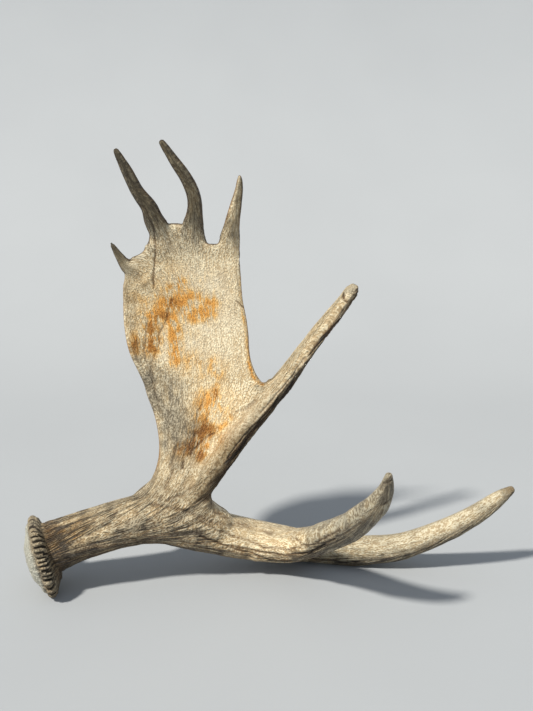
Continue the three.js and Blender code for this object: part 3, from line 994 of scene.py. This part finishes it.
# %% Mix the bone finish
CREAM, CREAM_PORE, CREAM_CREST = (0.76, 0.61, 0.375), (0.48, 0.335, 0.17), (0.93, 0.81, 0.56)
GREY, GREY_PORE, GREY_CREST = (0.25, 0.208, 0.14), (0.11, 0.088, 0.058), (0.42, 0.36, 0.25)
GOLD = (0.66, 0.46, 0.22)
CHALK = (0.86, 0.77, 0.58)
GOLD_TINT = (0.96, 0.79, 0.47)
RUST_TINT = (0.93, 0.63, 0.34)
UMBER_TINT = (0.54, 0.48, 0.41)
# colour of that darker tone
DARKER_TONE_TINT = (0.255, 0.22, 0.168)
RIM_TINT = (0.46, 0.30, 0.16)
# colour of the painted shade on undersides and on sides facing away from the key light
SHADE_BELOW_TINT = (0.27, 0.18, 0.11)
BLEACH_TINT = (0.88, 0.93, 1.0)
VEIN_TINT = (0.20, 0.13, 0.075)
# colour of the darker points, also used as painted shade on one side of the fore point
POINT_AND_SHADE_TINT = (0.40, 0.38, 0.33)
TIP_TINT = (0.42, 0.31, 0.20)
# colour of the painted shadow behind the burr
BURR_SHADOW_TINT = (0.52, 0.42, 0.30)
# near black, for the fissure lines and for the dirt and painted shade in the furrows
CRACK_AND_SHADE = (0.022, 0.015, 0.009)
SEAL = (0.59, 0.57, 0.47)
SEAL_PIT = (0.24, 0.23, 0.16)
RELIEF = 3.5 * MM
BONE_IOR, BONE_SHINE = 1.5, 0.35


def bone(name, pore_share, gold_share):
    finish = Finish(name)
    one = finish.field("start_one", "Vector")
    two = finish.field("start_two", "Vector")
    fade = finish.field("fade")
    along = finish.field("grown") * MM
    place = finish.node("TexCoord", output="Object")

    def pores(width, length, detail):
        """Streaky noise about 0.5, width across the grain and length along it."""
        settings = {"noise_dimensions": "4D"}
        values = {"W": along * (width / length), "Scale": 1 / width, "Detail": detail}
        first = finish.node("TexNoise", settings, {"Vector": one, **values})
        second = finish.node("TexNoise", settings, {"Vector": two, **values})
        return first * fade + second * (1 - fade)

    def fissures(width, length):
        """Thin dark lines with the grain, where the antler is fissured."""
        settings = {"noise_dimensions": "4D"}
        values = {"W": along * (width / length), "Scale": 1 / width, "Detail": 1.0}
        lines = [abs(finish.node("TexNoise", settings, {"Vector": start, **values}) - 0.5)
                 .between(0.05, 0.012) * finish.field(share)
                 for start, share in ((one, "fissured_one"), (two, "fissured_two"))]
        return lines[0] + lines[1]

    def blotch(size, detail):
        return finish.node("TexNoise", {}, {"Vector": place, "Scale": 1 / size, "Detail": detail})

    fine = pores(0.85 * MM, 2.4 * MM, 0.0)
    coarse = pores(1.5 * MM, 7 * MM, 2.0)
    ends = pores(7 * MM, 40 * MM, 1.0)
    fibre = pores(5 * MM, 30 * MM, 2.0)
    ridge = pores(2.6 * MM, 45 * MM, 1.0).between(0.4, 0.54)
    patch = blotch(13 * MM, 4.0)
    grit = blotch(1.5 * MM, 1.0)

    weathered = finish.field("weathered")
    rough = finish.field("rough")
    shade_below = finish.field("shade_below")
    furrow_dirt_and_shade = finish.field("furrow_dirt_and_shade")
    seal = finish.field("seal")
    pale_and_painted_light = finish.field("pale_and_painted_light")

    grey = (weathered + (fibre - 0.5) * 1.6 * weathered + (patch - 0.5) * 0.55).between(0.1, 0.85)
    grain = fine * 0.36 + coarse * 0.36 + fibre * 0.16 + grit * 0.12
    pit = grain.between(0.5, 0.46) * pore_share * (1.0 - pale_and_painted_light * 0.45)
    fissure = (fissures(4.2 * MM, 200 * MM) * ends.between(0.38, 0.46)
               + fissures(2.2 * MM, 70 * MM) * ends.between(0.6, 0.48) * 0.8).clamped()
    crest = grain.between(0.5, 0.545)
    colour = finish.mix((patch.between(0.42, 0.62) * gold_share).clamped(), CREAM, GOLD)
    # pale marks, and painted light on the palm's centre
    colour = finish.mix((pale_and_painted_light * 0.7).clamped(), colour, CHALK)
    colour = finish.mix(grey, colour, GREY)
    colour = finish.mix(pit, colour, finish.mix(grey, CREAM_PORE, GREY_PORE))
    colour = finish.mix(crest * 0.85, colour, finish.mix(grey, CREAM_CREST, GREY_CREST))

    colour = finish.tint(finish.field("bleached"), colour, BLEACH_TINT)
    darker_tone = finish.field("darker_tone")
    darkened = (darker_tone * (1.0 + (fibre - 0.5) * 1.7 + (ends - 0.5) * 0.8)).clamped()
    colour = finish.tint(darkened, colour, DARKER_TONE_TINT)
    ragged = (coarse - 0.5) * 2.6 + (fibre - 0.5) * 2.2 + (patch - 0.5) * 1.6
    rust = finish.field("rust")
    soaked = (rust * (0.95 + ragged * 2.6)).clamped()
    colour = finish.tint((soaked * 1.6).clamped(), colour, GOLD_TINT)
    colour = finish.tint(soaked, colour, RUST_TINT)
    umber = finish.field("umber")
    soaked_dark = (umber * (0.8 + ragged * 2.6)).clamped()
    colour = finish.tint(soaked_dark, colour, UMBER_TINT)
    # rim, vessel lines, darker points and dark tip are the bone's own colour; the darkened
    # undersides, the band behind the burr and one side of the fore point are painted shade
    for share, tint in (
            (finish.field("rim") * coarse.between(0.36, 0.52) * 0.9, RIM_TINT),
            (finish.field("vein"), VEIN_TINT),
            ((shade_below * (1.15 - 0.85 * ridge)).clamped(), SHADE_BELOW_TINT),
            (finish.field("burr_shadow") * (0.5 + 0.5 * coarse.between(0.4, 0.55)), BURR_SHADOW_TINT),
            (finish.field("dark_points_and_shade") * (0.75 + 0.25 * patch), POINT_AND_SHADE_TINT),
            (finish.field("tip") * coarse.between(0.35, 0.55) * 0.8, TIP_TINT)):
        colour = finish.tint(share, colour, tint)
    chalky = finish.mix(grit.between(0.5, 0.65) * 0.6, SEAL, SEAL_PIT)
    colour = finish.mix(seal * 0.95, colour, chalky)
    colour = finish.mix(finish.field("pearl") * 0.35, colour, GREY_CREST)
    colour = finish.mix(fissure * 0.85, colour, CRACK_AND_SHADE)
    # dirt and painted shade in the furrows and in the cuts of the burr
    colour = finish.mix((furrow_dirt_and_shade * (0.7 + 0.6 * fine)).between(0.1, 0.8) * 0.9, colour, CRACK_AND_SHADE)

    gloss = 0.48 + rough * 0.16 + furrow_dirt_and_shade * 0.2 + (coarse - 0.5) * 0.4 + seal * 0.2
    relief = (grain * (0.8 + 1.4 * rough) + grit * (0.1 + seal * 0.5) + ridge * shade_below * 0.45
              - fissure * 0.35)
    bump = finish.node("Bump", {}, {"Strength": 1.0, "Distance": RELIEF, "Height": relief})
    shader = finish.node("BsdfPrincipled", {}, {
        "Base Color": colour, "Roughness": gloss.clamped(), "Normal": bump, "IOR": BONE_IOR,
        "Specular IOR Level": BONE_SHINE})
    finish.node("OutputMaterial", {}, {"Surface": shader})
    return finish.material


FINISHES = {
    "beam_bone": bone("beam_bone", 0.9, 0.3),
    "palm_bone": bone("palm_bone", 0.68, 0.35),
    "tine_bone": bone("tine_bone", 0.8, 0.25),
}
print("finishes:", {name: len(m.node_tree.nodes) for name, m in FINISHES.items()})

# %% [markdown]
# ## Parting the skin
#
# The library wants the antler in the same parts as its solids, so that each can be repainted on
# its own. We cut the finished skin along the squares nearest each fork. The pieces share their
# border points and keep the normals of the whole skin, so the joins can't be seen. The palm is
# cut once more, below its crown, to keep each piece light.

# %% Cut the skin into pieces that stand for the nodes
PALM_PART_HEIGHT = 262
SLOT_OF = {"beam": "beam_bone", "brow_branch": "beam_bone",
           "palm": "palm_bone", "lateral_tine": "palm_bone",
           "front_brow_tine": "tine_bone", "back_brow_tine": "tine_bone"}


def skin_piece(name, node, chosen):
    used, local = np.unique(quads[chosen], return_inverse=True)
    mesh = mesh_from(name, points[used], local.reshape(-1, 4))
    mesh.polygons.foreach_set("use_smooth", np.ones(len(mesh.polygons), bool))
    for field, values in FIELDS.items():
        layer = mesh.attributes.new(field, "FLOAT", "POINT")
        layer.data.foreach_set("value", values[used].astype(np.float32))
    for field, values in (("start_one", start_one), ("start_two", start_two)):
        layer = mesh.attributes.new(field, "FLOAT_VECTOR", "POINT")
        layer.data.foreach_set("vector", values[used].astype(np.float32).ravel())
    mesh.normals_split_custom_set_from_vertices(normals[used])
    mesh.materials.append(FINISHES[SLOT_OF[node]])
    piece = bpy.data.objects.new(name, mesh)
    bpy.context.scene.collection.objects.link(piece)
    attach(piece, "root")
    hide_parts(node)
    return piece


face_middle = points[quads].mean(axis=1)
face_home = np.array([owner[whole.find_nearest(place)[2]] for place in face_middle.tolist()])
face_height = points[quads][:, :, 2].mean(axis=1) / MM
pieces = []
for index, node in enumerate(NODES):
    chosen = face_home == index
    if node == "palm":
        pieces.append(skin_piece("palm_blade", node, chosen & (face_height < PALM_PART_HEIGHT)))
        pieces.append(skin_piece("palm_crown", node, chosen & (face_height >= PALM_PART_HEIGHT)))
    else:
        pieces.append(skin_piece(node + "_skin", node, chosen))
print("triangles:", {piece.name: 2 * len(piece.data.polygons) for piece in pieces})

# %% [markdown]
# ## Studio
#
# A pale sweep of paper runs under the antler and rises behind it. One soft key light from the upper
# left stands in for a low sun, and the pale world fills the shadows.

# %% Build the sweep and light it
SWEEP_BACK = 1.9
SWEEP_RISE = 1.3
SWEEP_REACH = 4.0
PAPER_DARK, PAPER_LIGHT = (0.33, 0.342, 0.35), (0.365, 0.378, 0.385)

profile = [(-SWEEP_REACH, 0.0), (SWEEP_BACK - SWEEP_RISE, 0.0)]
profile += [(SWEEP_BACK - SWEEP_RISE + SWEEP_RISE * math.sin(a), SWEEP_RISE * (1 - math.cos(a)))
            for a in np.linspace(0, math.pi / 2, 24)[1:]]
profile += [(SWEEP_BACK, SWEEP_REACH)]
sweep_points = np.array([(side, depth, rise) for depth, rise in profile
                         for side in (-SWEEP_REACH, SWEEP_REACH)])
sweep_quads = np.array([(2 * i, 2 * i + 1, 2 * i + 3, 2 * i + 2) for i in range(len(profile) - 1)])
sweep_mesh = mesh_from("sweep", sweep_points, sweep_quads)
sweep_mesh.polygons.foreach_set("use_smooth", np.ones(len(sweep_quads), bool))
paper = Finish("paper")
paper_place = paper.node("TexCoord", output="Object")
fibre = paper.node("TexNoise", {}, {"Vector": paper_place, "Scale": 3.0})
tone = paper.mix(fibre, PAPER_DARK, PAPER_LIGHT)
paper.node("OutputMaterial", {}, {"Surface": paper.node(
    "BsdfPrincipled", {}, {"Base Color": tone, "Roughness": 0.85})})
sweep_mesh.materials.append(paper.material)
sweep = bpy.data.objects.new("sweep", sweep_mesh)
bpy.context.scene.collection.objects.link(sweep)

KEY_TRAVEL = Vector((0.435, 0.413, -0.80))
KEY_STRENGTH, KEY_SPREAD = 4.7, math.radians(5)
KEY_COLOUR = (1.0, 0.965, 0.9)
WORLD_COLOUR, WORLD_STRENGTH = (0.78, 0.87, 1.0, 1), 0.55

key = bpy.data.objects.new("key_light", bpy.data.lights.new("key_light", "SUN"))
key.data.energy = KEY_STRENGTH
key.data.angle = KEY_SPREAD
key.data.color = KEY_COLOUR
key.rotation_euler = KEY_TRAVEL.to_track_quat("-Z", "Y").to_euler()
bpy.context.scene.collection.objects.link(key)
world = bpy.data.worlds.new("pale_world")
world.use_nodes = True
background = world.node_tree.nodes["Background"].inputs
background["Color"].default_value = WORLD_COLOUR
background["Strength"].default_value = WORLD_STRENGTH
bpy.context.scene.world = world
bpy.context.scene.view_settings.view_transform = "Standard"
print("sweep and key light are up")
